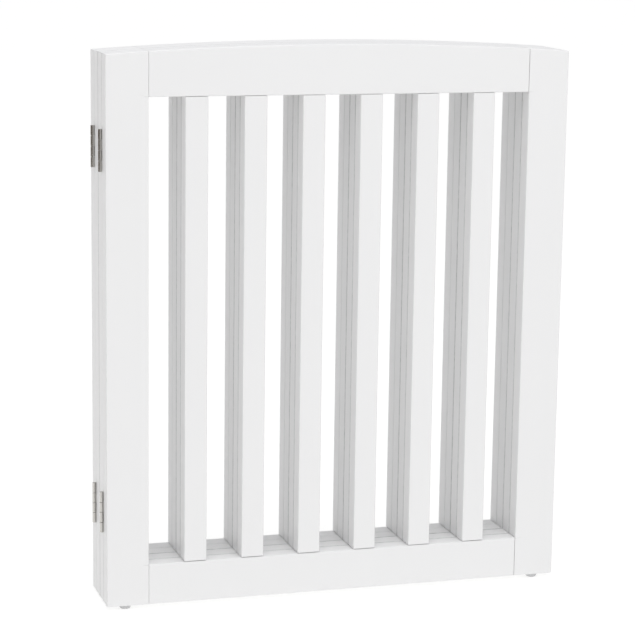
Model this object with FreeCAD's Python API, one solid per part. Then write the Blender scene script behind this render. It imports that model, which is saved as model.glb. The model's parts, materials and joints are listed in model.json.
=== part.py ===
import FreeCAD, Part
import math
import os

# Free-standing folding pet gate: four slatted wooden panels, hinged end to end
# like an accordion and folded flat into one stack.
#
# +X runs along the panels' width, -Y is the front of the stack and +Z is up.
# The origin is on the floor, under the middle of the folded stack.
# All sizes are in millimetres.

Vector = FreeCAD.Vector

# ---- Panels ------------------------------------------------------------------
panel_count = 4
panel_width = 508.0
side_height = 585.5          # height of a panel at its outer corners
arch_rise = 8.5              # how far the top edge's arch rises above those corners
panel_thickness = 19.0
panel_gap = 0.7              # between two folded panels
stile_width = 45.0
top_rail_height = 44.0       # from the rail's underside up to the outer corners' height
bottom_rail_height = 44.0
slat_count = 6
slat_width = 24.5
edge_radius = 1.0            # every exposed long edge is eased by this much

# ---- Joints in the wood ------------------------------------------------------
tenon_length = 10.0          # stub tenon on each end of a slat
tenon_thickness = 10.0
tenon_shoulder = 2.5         # slat width left bare on each side of its tenon
mortise_clearance = 0.1      # glue room round a tenon
mortise_end_room = 0.5
dowel_radius = 4.0
dowel_depth = 20.0           # how far a dowel enters the stile, and the rail
dowel_edge_distance = 14.0   # dowel centre to the rail's straight edge
dowel_spacing = 16.0
dowel_chamfer = 0.8
dowel_end_room = 1.0

# ---- Glides under the stiles -------------------------------------------------
glide_height = 5.0
glide_top_radius = 6.5
glide_foot_radius = 4.2
glide_round = 0.8
glide_stem_radius = 3.0
glide_stem_length = 8.0
glide_inset = 21.0           # glide centre to the panel's outer end

# ---- Butt hinges between neighbouring panels ---------------------------------
hinge_length = 44.0
hinge_end_distance = 100.0   # hinge centre to the panel's nearest outer corner
knuckle_count = 4
knuckle_gap = 0.2            # along the pin, between neighbouring knuckles
barrel_radius = 2.0
barrel_clearance = 0.35      # barrel to the stiles' eased corners
pin_radius = 1.05
pin_clearance = 0.05         # running fit in the swinging leaf's knuckles
leaf_width = 17.0            # pin axis to the leaf's far edge
leaf_thickness = 0.9
leaf_gap = 0.2               # between the two folded leaves
leaf_corner_radius = 1.5
notch_clearance = 0.3        # leaf edge to the other leaf's knuckles
leaf_seat_clearance = 0.2    # round the edge of a leaf in its mortise

# ---- Hinge screws ------------------------------------------------------------
screws_per_leaf = 3
screw_length = 13.0
screw_head_radius = 2.6
screw_shank_radius = 1.4
screw_point_length = 2.5
screw_edge_distance = 7.5    # outer screw centre to the leaf's short edge
screw_near_distance = 6.0    # pin axis to the first row of screws
screw_far_distance = 12.0    # pin axis to the second row of screws
recess_width = 0.7
recess_length = 3.0
recess_depth = 0.7

# ---- Worked out from the sizes above -----------------------------------------
half_width = panel_width / 2
rail_half = half_width - stile_width
opening_bottom = bottom_rail_height
opening_top = side_height - top_rail_height
slat_gap = (2 * rail_half - slat_count * slat_width) / (slat_count + 1)
arch_radius = (half_width**2 + arch_rise**2) / (2 * arch_rise)
panel_pitch = panel_thickness + panel_gap
stack_depth = panel_count * panel_thickness + (panel_count - 1) * panel_gap
hinge_axis_out = math.sqrt(
    (barrel_radius + barrel_clearance + edge_radius)**2
    - (panel_gap / 2 + edge_radius)**2
) - edge_radius
hinge_centres = (hinge_end_distance, side_height - hinge_end_distance)
LEFT = -1
RIGHT = 1
FRONT = -1
BACK = 1


def box(x_low, x_high, y_low, y_high, z_low, z_high):
    """A box between two opposite corners."""
    size = (x_high - x_low, y_high - y_low, z_high - z_low)
    return Part.makeBox(*size, Vector(x_low, y_low, z_low))


def revolve_profile(points):
    """A solid of revolution about Z from (radius, height) points in order."""
    wire = Part.makePolygon([Vector(r, 0, z) for r, z in points + points[:1]])
    return Part.Face(wire).revolve(Vector(0, 0, 0), Vector(0, 0, 1), 360)


def ease_edges(shape, axis, sharp_values):
    """Round every edge but those that lie wholly at a sharp value along an axis."""
    def is_sharp(edge):
        places = [getattr(vertex.Point, axis) for vertex in edge.Vertexes]
        return any(
            all(abs(place - value) < 1e-6 for place in places) for value in sharp_values
        )
    eased = [edge for edge in shape.Edges if not is_sharp(edge)]
    return shape.makeFillet(edge_radius, eased)


# ---- Wooden members, in a panel's own frame ----------------------------------
# There y runs from 0 at the front face to panel_thickness, and z from 0 at the
# bottom edge.

def arch_height(x):
    """Height of the arched top edge at x."""
    drop = math.sqrt(arch_radius**2 - half_width**2)
    return side_height + math.sqrt(arch_radius**2 - x**2) - drop


def arched_board(x_left, x_right, z_bottom):
    """A board of the panel's thickness whose top end follows the arch."""
    corners = [
        Vector(x_left, 0, z_bottom),
        Vector(x_right, 0, z_bottom),
        Vector(x_right, 0, arch_height(x_right)),
        Vector(x_left, 0, arch_height(x_left)),
    ]
    x_middle = (x_left + x_right) / 2
    top_middle = Vector(x_middle, 0, arch_height(x_middle))
    edges = [
        Part.LineSegment(corners[0], corners[1]).toShape(),
        Part.LineSegment(corners[1], corners[2]).toShape(),
        Part.Arc(corners[2], top_middle, corners[3]).toShape(),
        Part.LineSegment(corners[3], corners[0]).toShape(),
    ]
    return Part.Face(Part.Wire(edges)).extrude(Vector(0, panel_thickness, 0))


def easing_strip(corner, into_width, into_thickness, length):
    """The waste between a sharp upright corner and its eased round."""
    centre = corner + into_width + into_thickness
    outward = (corner - centre).normalize()
    side_point = corner + into_width
    face_point = corner + into_thickness
    edges = [
        Part.LineSegment(corner, side_point).toShape(),
        Part.Arc(side_point, centre + outward * edge_radius, face_point).toShape(),
        Part.LineSegment(face_point, corner).toShape(),
    ]
    return Part.Face(Part.Wire(edges)).extrude(Vector(0, 0, length))


def dowel_places():
    """Centre of each dowel, on the line between its stile and its rail."""
    rail_edges = (
        dowel_edge_distance,
        dowel_edge_distance + dowel_spacing,
        opening_top + dowel_edge_distance,
        opening_top + dowel_edge_distance + dowel_spacing,
    )
    return [
        Vector(side * rail_half, panel_thickness / 2, z)
        for side in (LEFT, RIGHT)
        for z in rail_edges
    ]


def dowel_hole(place):
    """The blind holes in stile and rail that one dowel lies in."""
    reach = dowel_depth + dowel_end_room
    start = place - Vector(reach, 0, 0)
    return Part.makeCylinder(dowel_radius, 2 * reach, start, Vector(1, 0, 0))


def make_dowel(place):
    """A dowel with chamfered ends, half in the stile and half in the rail."""
    start = place - Vector(dowel_depth, 0, 0)
    dowel = Part.makeCylinder(dowel_radius, 2 * dowel_depth, start, Vector(1, 0, 0))
    ends = [edge for edge in dowel.Edges if edge.isClosed()]
    return dowel.makeChamfer(dowel_chamfer, ends)


def glide_place(side):
    """Where a glide's axis meets the bottom edge of a stile."""
    return Vector(side * (half_width - glide_inset), panel_thickness / 2, 0)


def make_glide(side):
    """A tapered plastic glide whose stem is pressed into the end of a stile."""
    glide = revolve_profile([
        (0, glide_stem_length),
        (glide_stem_radius, glide_stem_length),
        (glide_stem_radius, 0),
        (glide_top_radius, 0),
        (glide_top_radius, -glide_round),
        (glide_foot_radius, -glide_height),
        (0, -glide_height),
    ])
    foot = [
        edge for edge in glide.Edges
        if edge.isClosed() and abs(edge.BoundBox.ZMax + glide_height) < 1e-6
    ]
    glide = glide.makeFillet(glide_round, foot)
    glide.translate(glide_place(side))
    return glide


def make_stile(side):
    """An upright at one end of a panel, with its dowel and glide holes."""
    x_inner = side * rail_half
    x_outer = side * half_width
    blank = arched_board(min(x_inner, x_outer), max(x_inner, x_outer), 0)
    stile = ease_edges(blank, "x", [x_inner])
    opening_height = opening_top - opening_bottom
    for y, into_thickness in ((0, edge_radius), (panel_thickness, -edge_radius)):
        corner = Vector(x_inner, y, opening_bottom)
        into_width = Vector(side * edge_radius, 0, 0)
        strip = easing_strip(corner, into_width, Vector(0, into_thickness, 0), opening_height)
        stile = stile.cut(strip)
    for place in dowel_places():
        if place.x * side > 0:
            stile = stile.cut(dowel_hole(place))
    stem_hole_depth = glide_stem_length + dowel_end_room
    return stile.cut(Part.makeCylinder(glide_stem_radius, stem_hole_depth, glide_place(side)))


def slat_left(index):
    """x of a slat's left side."""
    return -rail_half + slat_gap + index * (slat_width + slat_gap)


def slat_tenon(index, z_low, z_high, room):
    """A slat's tenon, or its mortise when there is room round it."""
    x_low = slat_left(index) + tenon_shoulder - room
    x_high = slat_left(index) + slat_width - tenon_shoulder + room
    y_low = (panel_thickness - tenon_thickness) / 2 - room
    return box(x_low, x_high, y_low, panel_thickness - y_low, z_low, z_high)


def make_slat(index):
    """An upright slat with a stub tenon on each end."""
    x_low = slat_left(index)
    blank = box(x_low, x_low + slat_width, 0, panel_thickness, opening_bottom, opening_top)
    slat = ease_edges(blank, "z", [opening_bottom, opening_top])
    foot = slat_tenon(index, opening_bottom - tenon_length, opening_bottom, 0)
    head = slat_tenon(index, opening_top, opening_top + tenon_length, 0)
    return slat.fuse([foot, head]).removeSplitter()


def cut_rail(blank, mortise_low, mortise_high):
    """Ease a rail's long edges and cut its mortises and dowel holes."""
    rail = ease_edges(blank, "x", [-rail_half, rail_half])
    tools = [
        slat_tenon(index, mortise_low, mortise_high, mortise_clearance)
        for index in range(slat_count)
    ]
    tools += [
        dowel_hole(place) for place in dowel_places()
        if blank.BoundBox.ZMin < place.z < blank.BoundBox.ZMax
    ]
    return rail.cut(tools)


def make_bottom_rail():
    """The straight rail along a panel's bottom edge."""
    blank = box(-rail_half, rail_half, 0, panel_thickness, 0, opening_bottom)
    return cut_rail(blank, opening_bottom - tenon_length - mortise_end_room, opening_bottom)


def make_top_rail():
    """The rail along a panel's top edge, arched on top."""
    blank = arched_board(-rail_half, rail_half, opening_top)
    return cut_rail(blank, opening_top, opening_top + tenon_length + mortise_end_room)


# ---- Hinges, in a hinge's own frame ------------------------------------------
# There the pin runs up Z from the hinge's lower end, the leaves reach out along
# +X, and this leaf lies on the +Y side of the plane between the two panels.

def leaf_face(thickness_side):
    """y of the leaf's face: 0 is the one towards the other leaf, 1 the one on the wood."""
    return leaf_gap / 2 + thickness_side * leaf_thickness


def screw_places():
    """Where each screw's axis meets the leaf's open face."""
    step = (hinge_length - 2 * screw_edge_distance) / (screws_per_leaf - 1)
    return [
        Vector(
            screw_far_distance if index % 2 else screw_near_distance,
            leaf_face(0),
            screw_edge_distance + index * step,
        )
        for index in range(screws_per_leaf)
    ]


def screw_blank():
    """A countersunk screw without its recess, pointing up from a head face at z = 0."""
    head_depth = screw_head_radius - screw_shank_radius
    return revolve_profile([
        (0, 0),
        (screw_head_radius, 0),
        (screw_shank_radius, head_depth),
        (screw_shank_radius, screw_length - screw_point_length),
        (0, screw_length),
    ])


def lay_screw(screw, place):
    """Turn a screw that points up so that it points along +Y, and put it in place."""
    laid = screw.copy()
    laid.rotate(Vector(0, 0, 0), Vector(1, 0, 0), -90)
    laid.translate(place)
    return laid


def make_screw():
    """A countersunk screw with a cross recess in its head."""
    half_length = recess_length / 2
    half_slot = recess_width / 2
    slots = [
        box(-half_length, half_length, -half_slot, half_slot, 0, recess_depth),
        box(-half_slot, half_slot, -half_length, half_length, 0, recess_depth),
    ]
    return screw_blank().cut(slots)


def leaf_plate(x_low, y_low, margin):
    """A leaf's flat plate with round far corners, grown by a margin at its edges."""
    x_high = leaf_width + margin
    plate = box(x_low, x_high, y_low, leaf_face(1), -margin, hinge_length + margin)
    far_corners = [
        edge for edge in plate.Edges
        if all(abs(vertex.X - x_high) < 1e-6 for vertex in edge.Vertexes)
        and edge.BoundBox.YLength > leaf_thickness / 2
    ]
    return plate.makeFillet(leaf_corner_radius + margin, far_corners)


def leaf_mortise():
    """The shallow recess in a stile's face that a leaf is let into."""
    return leaf_plate(0, 0, leaf_seat_clearance)


def make_leaf(own_knuckles, bore_radius):
    """A leaf with its knuckles rolled round the pin, and its screw holes."""
    notch_edge = barrel_radius + notch_clearance
    leaf = leaf_plate(notch_edge, leaf_face(0), 0)
    knuckle_pitch = hinge_length / knuckle_count
    for index in own_knuckles:
        z_low = index * knuckle_pitch
        z_high = z_low + knuckle_pitch
        if index > 0:
            z_low += knuckle_gap / 2
        if index < knuckle_count - 1:
            z_high -= knuckle_gap / 2
        barrel = Part.makeCylinder(barrel_radius, z_high - z_low, Vector(0, 0, z_low))
        tongue = box(0, notch_edge, leaf_face(0), leaf_face(1), z_low, z_high)
        leaf = leaf.fuse([barrel, tongue])
    leaf = leaf.removeSplitter().cut(Part.makeCylinder(bore_radius, hinge_length))
    return leaf.cut([lay_screw(screw_blank(), place) for place in screw_places()])


def to_hinge(shape, hinge, panel_side):
    """Move a shape from the hinge's own frame to one side of a hinge on the gate."""
    placed = shape.copy()
    if panel_side == FRONT:
        placed = placed.mirror(Vector(0, 0, 0), Vector(0, 1, 0))
    if hinge["end"] == RIGHT:
        placed = placed.mirror(Vector(0, 0, 0), Vector(1, 0, 0))
    placed.translate(hinge["foot"])
    return placed


def hinges_between(front_panel):
    """The upper and lower hinge between a panel and the one behind it."""
    end = LEFT if front_panel % 2 == 0 else RIGHT
    y = panel_front(front_panel) + panel_thickness + panel_gap / 2
    return [
        {"end": end, "foot": Vector(end * (half_width + hinge_axis_out), y, z)}
        for z in (glide_height + centre - hinge_length / 2 for centre in hinge_centres)
    ]


# ---- Assembly ----------------------------------------------------------------

def panel_front(panel):
    """y of a panel's front face."""
    return -stack_depth / 2 + panel * panel_pitch


def place_in_stack(shapes, panel):
    """Move shapes from a panel's own frame to its place in the stack."""
    offset = Vector(0, panel_front(panel), glide_height)
    placed = [shape.copy() for shape in shapes]
    for shape in placed:
        shape.translate(offset)
    return placed


def panel_hinge_sides(panel):
    """Each hinge that a panel carries a leaf of, and the side of it the panel is on."""
    sides = []
    if panel > 0:
        sides += [(hinge, BACK) for hinge in hinges_between(panel - 1)]
    if panel < panel_count - 1:
        sides += [(hinge, FRONT) for hinge in hinges_between(panel)]
    return sides


fixed_leaf = make_leaf(range(0, knuckle_count, 2), pin_radius)
swinging_leaf = make_leaf(range(1, knuckle_count, 2), pin_radius + pin_clearance)
hinge_screw = make_screw()
nodes = {}

for panel in range(panel_count):
    prefix = f"panel_{panel + 1}_"
    hinge_sides = panel_hinge_sides(panel)
    leaves = []
    screws = []
    hinge_cuts = {LEFT: [], RIGHT: []}
    for hinge, panel_side in hinge_sides:
        leaf = swinging_leaf if panel_side == BACK else fixed_leaf
        leaves.append(to_hinge(leaf, hinge, panel_side))
        hinge_cuts[hinge["end"]].append(to_hinge(leaf_mortise(), hinge, panel_side))
        for place in screw_places():
            screws.append(to_hinge(lay_screw(hinge_screw, place), hinge, panel_side))
            hole = to_hinge(lay_screw(screw_blank(), place), hinge, panel_side)
            hinge_cuts[hinge["end"]].append(hole)
    for side, side_name in ((LEFT, "left"), (RIGHT, "right")):
        stile = place_in_stack([make_stile(side)], panel)[0]
        if hinge_cuts[side]:
            stile = stile.cut(hinge_cuts[side])
        nodes[prefix + side_name + "_stile"] = [stile]
    nodes[prefix + "top_rail"] = place_in_stack([make_top_rail()], panel)
    nodes[prefix + "bottom_rail"] = place_in_stack([make_bottom_rail()], panel)
    for index in range(slat_count):
        nodes[f"{prefix}slat_{index + 1}"] = place_in_stack([make_slat(index)], panel)
    dowels = [make_dowel(place) for place in dowel_places()]
    nodes[prefix + "dowels"] = place_in_stack(dowels, panel)
    glides = [make_glide(side) for side in (LEFT, RIGHT)]
    nodes[prefix + "glides"] = place_in_stack(glides, panel)
    nodes[prefix + "hinge_leaves"] = leaves
    nodes[prefix + "hinge_screws"] = screws

for panel in range(panel_count - 1):
    pins = []
    for hinge in hinges_between(panel):
        pins.append(Part.makeCylinder(pin_radius, hinge_length, hinge["foot"]))
    nodes[f"hinge_pins_{panel + 1}_{panel + 2}"] = pins

os.makedirs("parts", exist_ok=True)
for name, shapes in nodes.items():
    solids = [solid for shape in shapes for solid in shape.Solids]
    node = solids[0] if len(solids) == 1 else Part.makeCompound(solids)
    if not node.isValid():
        raise ValueError(f"{name} isn't a valid shape")
    node.exportStep(f"parts/{name}.step")
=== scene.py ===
import json
import math

import bmesh
import bpy
from bmesh.types import BMEdge, BMVert
from bpy.props import FloatProperty, FloatVectorProperty, IntProperty, PointerProperty
from mathutils import Matrix, Vector

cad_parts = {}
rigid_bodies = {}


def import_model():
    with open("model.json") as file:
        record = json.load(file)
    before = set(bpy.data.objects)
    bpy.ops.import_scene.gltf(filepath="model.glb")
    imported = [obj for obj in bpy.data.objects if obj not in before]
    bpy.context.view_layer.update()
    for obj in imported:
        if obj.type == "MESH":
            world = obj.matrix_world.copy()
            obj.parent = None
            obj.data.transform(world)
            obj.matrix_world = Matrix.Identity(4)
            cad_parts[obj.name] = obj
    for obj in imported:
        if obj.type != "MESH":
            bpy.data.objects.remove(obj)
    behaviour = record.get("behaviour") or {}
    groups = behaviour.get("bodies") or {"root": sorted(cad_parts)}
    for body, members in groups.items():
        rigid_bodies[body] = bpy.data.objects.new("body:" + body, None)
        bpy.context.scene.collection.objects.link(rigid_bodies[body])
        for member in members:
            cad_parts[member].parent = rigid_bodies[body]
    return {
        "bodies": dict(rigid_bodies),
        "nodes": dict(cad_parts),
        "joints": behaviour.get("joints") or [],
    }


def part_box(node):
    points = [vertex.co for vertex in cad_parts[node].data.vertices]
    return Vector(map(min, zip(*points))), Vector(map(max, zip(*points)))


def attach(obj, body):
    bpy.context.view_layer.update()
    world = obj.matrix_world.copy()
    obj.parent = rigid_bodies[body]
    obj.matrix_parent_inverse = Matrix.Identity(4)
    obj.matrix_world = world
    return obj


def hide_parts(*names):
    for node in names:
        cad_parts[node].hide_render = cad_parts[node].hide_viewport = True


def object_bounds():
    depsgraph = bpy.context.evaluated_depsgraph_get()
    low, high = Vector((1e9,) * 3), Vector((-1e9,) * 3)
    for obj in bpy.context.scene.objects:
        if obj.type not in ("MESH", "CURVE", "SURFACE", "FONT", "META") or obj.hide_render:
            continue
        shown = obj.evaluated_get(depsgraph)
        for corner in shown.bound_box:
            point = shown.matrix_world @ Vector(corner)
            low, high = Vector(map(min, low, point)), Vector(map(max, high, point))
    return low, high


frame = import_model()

bl_info = {
    "name": "Folding pet gate",
    "version": (1, 0, 0),
    "blender": (4, 5, 0),
    "location": "3D View > Sidebar > Pet gate",
    "description": "Builds the painted boards, hinges and glides of a four-panel folding pet gate",
    "category": "Object",
}

# The gate stands on z = 0, folded flat. X runs along the panels, -Y is the front.
# Every size is in metres.
MM = 0.001
CAD_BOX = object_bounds()
BOX = {node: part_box(node) for node in frame["nodes"]}
PANELS = sorted(frame["bodies"])
JOINTS = frame["joints"]
AXES = "xyz"
ORIGIN = (0, 0, 0)
UP = (0, 0, 1)
# How grey the enamel is painted in a round, from 0 to 1: painted shade in the seam between the two
# hinged pairs and in the seam of the front pair, and a little edge wear elsewhere.
MIDDLE_SEAM_SHADE = 0.9
FRONT_SEAM_SHADE = 0.7
OPEN_WEAR = 0.1
# Points closer than the first are made one; coordinates closer than the second count as equal.
WELD = 0.001 * MM
SAME_PLACE = 0.01 * MM
# Most of a noise pattern lies between these values.
SPREAD = {"From Min": 0.3, "From Max": 0.7}
COLOUR_MIX = {"data_type": "RGBA"}
# How a board's pattern is squeezed on each axis, so that its grain runs up or across.
GRAIN_UP = (1, 1, 0.06)
GRAIN_ACROSS = (0.06, 1, 1)


# ---- Colours -----------------------------------------------------------------

def linear(hex_colour):
    """An sRGB hex colour as linear red, green and blue."""
    channels = [int(hex_colour[start:start + 2], 16) / 255 for start in (0, 2, 4)]
    return tuple(
        value / 12.92 if value <= 0.04045 else ((value + 0.055) / 1.055) ** 2.4
        for value in channels
    )


def shade(colour, factor):
    """A linear colour made darker or lighter, with its alpha."""
    return (*(channel * factor for channel in colour), 1)


# ---- Sizes and colours that a user would change ------------------------------

def length(name, description, millimetres):
    """A length property, given in millimetres and kept in metres."""
    return FloatProperty(
        name=name, description=description, default=millimetres * MM, min=0, precision=5,
        subtype="DISTANCE", unit="LENGTH",
    )


def angle(name, description, degrees):
    """An angle property, given in degrees and kept in radians."""
    return FloatProperty(
        name=name, description=description, default=math.radians(degrees), subtype="ANGLE",
        unit="ROTATION",
    )


def position(name, description, metres):
    """A place property, given in metres."""
    return FloatVectorProperty(
        name=name, description=description, default=metres, subtype="TRANSLATION", unit="LENGTH"
    )


def colour(name, description, hex_colour):
    """A colour property, given as an sRGB hex value."""
    return FloatVectorProperty(
        name=name, description=description, default=linear(hex_colour), min=0, max=1, size=3,
        subtype="COLOR",
    )


class GateBoardSettings(bpy.types.PropertyGroup):
    """Sizes and finish of the painted wooden members."""

    paint: colour("Paint", "White enamel on the boards", "ECECEC")
    edge_radius: length("Eased edge", "Radius of the sanded long edges", 1.0)
    edge_steps: IntProperty(name="Edge steps", description="Faces across an edge", default=4)
    arch_steps: IntProperty(name="Arch steps", description="Faces along the top rail", default=32)
    left_gap: length("Left hairline", "Open line between a rail and the left stile", 0.34)
    right_gap: length("Right hairline", "Open line between a rail and the right stile", 0.6)
    foot_gap: length("Foot hairline", "Open line under a slat's shoulder", 0.85)
    head_gap: length("Head hairline", "Open line above a slat's shoulder", 0.28)
    gap_depth: length("Hairline depth", "How deep the line beside a rail's end goes", 2.0)
    tenon_shoulder: length("Tenon shoulder", "Slat width left bare beside its tenon", 2.5)
    tenon_thickness: length("Tenon thickness", "Thickness of a slat's tenon", 10.0)
    mortise_room: length("Mortise room", "Glue room round a tenon", 0.1)
    mortise_depth: length("Mortise depth", "Depth of a slat's mortise", 10.5)


class GateHingeSettings(bpy.types.PropertyGroup):
    """Sizes and finish of the butt hinges and their screws."""

    plating: colour("Plating", "Bright zinc on leaves and pins", "C9C7C3")
    screw_plating: colour("Screw plating", "Zinc on the screws", "BFBDB6")
    leaf_length: length("Leaf length", "Length of a hinge along its pin", 44.0)
    leaf_thickness: length("Sheet thickness", "Thickness of the rolled sheet", 0.9)
    leaf_gap: length("Leaf gap", "Room between the two folded leaves", 0.2)
    barrel_radius: length("Barrel radius", "Outer radius of a knuckle", 2.0)
    notch_room: length("Notch room", "Room between a leaf and the other's knuckles", 0.3)
    knuckles: IntProperty(name="Knuckles", description="Knuckles in one hinge", default=4)
    knuckle_gap: length("Knuckle gap", "Room between neighbouring knuckles", 0.6)
    corner_radius: length("Leaf corner", "Radius of a leaf's far corners", 1.5)
    seat_room: length("Seat room", "Room round a leaf in its recess", 0.2)
    screws: IntProperty(name="Screws", description="Screws in one leaf", default=3)
    screw_end: length("Screw end distance", "Outer screws to the leaf's short edges", 7.5)
    screw_near: length("Near screws", "Pin axis to the nearer row of screws", 6.0)
    screw_far: length("Far screws", "Pin axis to the farther row of screws", 12.0)
    head_radius: length("Head radius", "Radius of a countersunk head", 2.6)
    shank_radius: length("Shank radius", "Radius of a screw's shank", 1.4)
    screw_length: length("Screw length", "Length of a screw", 13.0)


class GateGlideSettings(bpy.types.PropertyGroup):
    """Sizes and finish of the floor glides and the dowels."""

    plastic: colour("Plastic", "Natural polyethylene", "CBCBCC")
    beech: colour("Beech", "Turned beech of the dowels", "D8B48A")
    foot_round: length("Foot round", "Radius of the round between side and foot", 3.2)
    stem_radius: length("Stem radius", "Radius of the stem pressed into the stile", 3.0)


class GateStageSettings(bpy.types.PropertyGroup):
    """The floor, the lights and the camera."""

    sheet: colour("Sheet", "Light table under the gate", "B0B0B0")
    flag_cloth: colour("Flag cloth", "Dark cloth beside the gate", "5C5148")
    floor_size: length("Floor size", "Side of the square floor", 60000)
    floor_glow: FloatProperty(name="Floor glow", description="Light from below the sheet", default=0.67)
    sky: FloatProperty(name="Sky", description="Strength of the even room light", default=0.60)
    key_strength: FloatProperty(name="Key", description="Wide overhead light", default=0.62)
    key_spread: angle("Key spread", "Width of the overhead light, seen from the gate", 40)
    key_lean: angle("Key lean", "How far the overhead light hangs in front of the zenith", 21)
    softbox_power: FloatProperty(
        name="Softbox power", description="Softbox above the front", default=22, unit="POWER"
    )
    softbox_size: length("Softbox size", "Side of the square softbox", 2200)
    softbox_place: position("Softbox place", "Where the softbox hangs", (-0.3, -0.95, 2.4))
    flag_distance: length("Flag distance", "From the hinged end to the dark flags", 1900)
    flag_foot: length("Flag foot", "From the floor to a flag's lower edge", 140)
    flag_height: length("Flag height", "From a flag's lower to its upper edge", 520)
    side_flag_start: angle("Side flag start", "Where the side flag starts, from +X", 120)
    side_flag_turn: angle("Side flag turn", "How far the side flag goes round", 125)
    front_flag_start: angle("Front flag start", "Where the front flag starts, from +X", 245)
    front_flag_turn: angle("Front flag turn", "How far the front flag goes round", 50)
    lens: FloatProperty(name="Lens", description="Focal length in millimetres", default=127.47)
    camera_place: position("Camera place", "Where the camera stands", (-0.70838, -2.30014, 0.75904))
    heading: angle("Heading", "Turn to the right, away from straight ahead", 16.811)
    pitch: angle("Pitch", "How far the camera looks down", 10.806)
    roll: angle("Roll", "How far the camera leans to its left", 0.797)


SETTINGS = {
    "gate_boards": GateBoardSettings,
    "gate_hinges": GateHingeSettings,
    "gate_glides": GateGlideSettings,
    "gate_stage": GateStageSettings,
}


# ---- Material nodes ----------------------------------------------------------

def set_inputs(tree, node, inputs):
    """Set a node's inputs; an input is a value, or an output to link to."""
    for name, value in inputs.items():
        if isinstance(value, bpy.types.NodeSocket):
            tree.links.new(value, node.inputs[name])
        else:
            node.inputs[name].default_value = value


def add_node(tree, kind, settings, inputs):
    """Add a node with its settings and its inputs."""
    node = tree.nodes.new("ShaderNode" + kind)
    for name, value in settings.items():
        setattr(node, name, value)
    set_inputs(tree, node, inputs)
    return node


def new_material(name, recipe, details):
    """A node material whose surface shader takes the inputs that its recipe gives."""
    material = bpy.data.materials.new(name)
    material.use_nodes = True
    tree = material.node_tree
    tree.nodes.clear()
    shader = add_node(tree, "BsdfPrincipled", {}, {})
    add_node(tree, "OutputMaterial", {}, {"Surface": shader.outputs["BSDF"]})
    place = add_node(tree, "TexCoord", {}, {}).outputs["Object"]
    set_inputs(tree, shader, recipe(tree, place, *details))
    return material


def shared(name, recipe, *details):
    """The material of that name, made the first time that it is asked for."""
    return bpy.data.materials.get(name) or new_material(name, recipe, details)


# ---- Materials ---------------------------------------------------------------
# Each recipe adds its nodes and returns the inputs of the surface shader. A noise pattern's
# scale is one over its real size in metres. A colour mix takes its factor at input 0 and its
# two colours at inputs 6 and 7, and gives output 2.

def sprayed_enamel(tree, place, paint, grain):
    """White water-based enamel sprayed on sanded pine: an even satin skin, with painted shade greying
    the rounds where folded boards meet and a little edge wear on the other rounds, with a trace of
    orange peel and of the grain below."""
    # The film's thickness drifts over patches 120 mm across.
    clouds = add_node(tree, "TexNoise", {}, {"Vector": place, "Scale": 1 / (120 * MM)})
    body = add_node(
        tree, "Mix", COLOUR_MIX,
        {0: clouds.outputs["Fac"], 6: shade(paint, 0.985), 7: shade(paint, 1.0)},
    )
    # Along a round the painted shade and edge wear come and go every 6 mm or so.
    patches = add_node(tree, "TexNoise", {}, {"Vector": place, "Scale": 1 / (6 * MM)})
    patchy_shade_and_wear = add_node(
        tree, "MapRange", {},
        {"Value": patches.outputs["Fac"], **SPREAD, "To Min": 0.55, "To Max": 1.0},
    )
    edge = add_node(tree, "Attribute", {"attribute_name": "eased"}, {})
    painted_shade_and_wear = add_node(
        tree, "Math", {"operation": "MULTIPLY"},
        {0: edge.outputs["Fac"], 1: patchy_shade_and_wear.outputs["Result"]},
    )
    # Rounds are mixed towards grey: painted shade in the seams between folded boards, a little edge
    # wear on the others.
    tone = add_node(
        tree, "Mix", COLOUR_MIX,
        {0: painted_shade_and_wear.outputs["Value"], 6: body.outputs[2], 7: shade(paint, 0.55)},
    )
    # The sheen of the film varies over patches of 9 mm.
    sheen = add_node(tree, "TexNoise", {}, {"Vector": place, "Scale": 1 / (9 * MM)})
    gloss = add_node(
        tree, "MapRange", {},
        {"Value": sheen.outputs["Fac"], **SPREAD, "To Min": 0.36, "To Max": 0.46},
    )
    # Pine's growth lines are 1 to 2 mm apart, drawn at 3 mm so that they show.
    along = add_node(tree, "Mapping", {}, {"Vector": place, "Scale": grain})
    lines = add_node(
        tree, "TexNoise", {},
        {"Vector": along.outputs["Vector"], "Scale": 1 / (3 * MM), "Detail": 3.0},
    )
    raised = add_node(tree, "Bump", {}, {"Height": lines.outputs["Fac"], "Distance": 0.003 * MM})
    # Orange peel is about 1 mm across, drawn at 2.5 mm so that it shows.
    peel = add_node(tree, "TexNoise", {}, {"Vector": place, "Scale": 1 / (2.5 * MM)})
    skin = add_node(
        tree, "Bump", {},
        {"Height": peel.outputs["Fac"], "Distance": 0.004 * MM, "Normal": raised.outputs["Normal"]},
    )
    return {
        "Base Color": tone.outputs[2],
        "Roughness": gloss.outputs["Result"],
        "Normal": skin.outputs["Normal"],
        "IOR": 1.5,
    }


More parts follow.
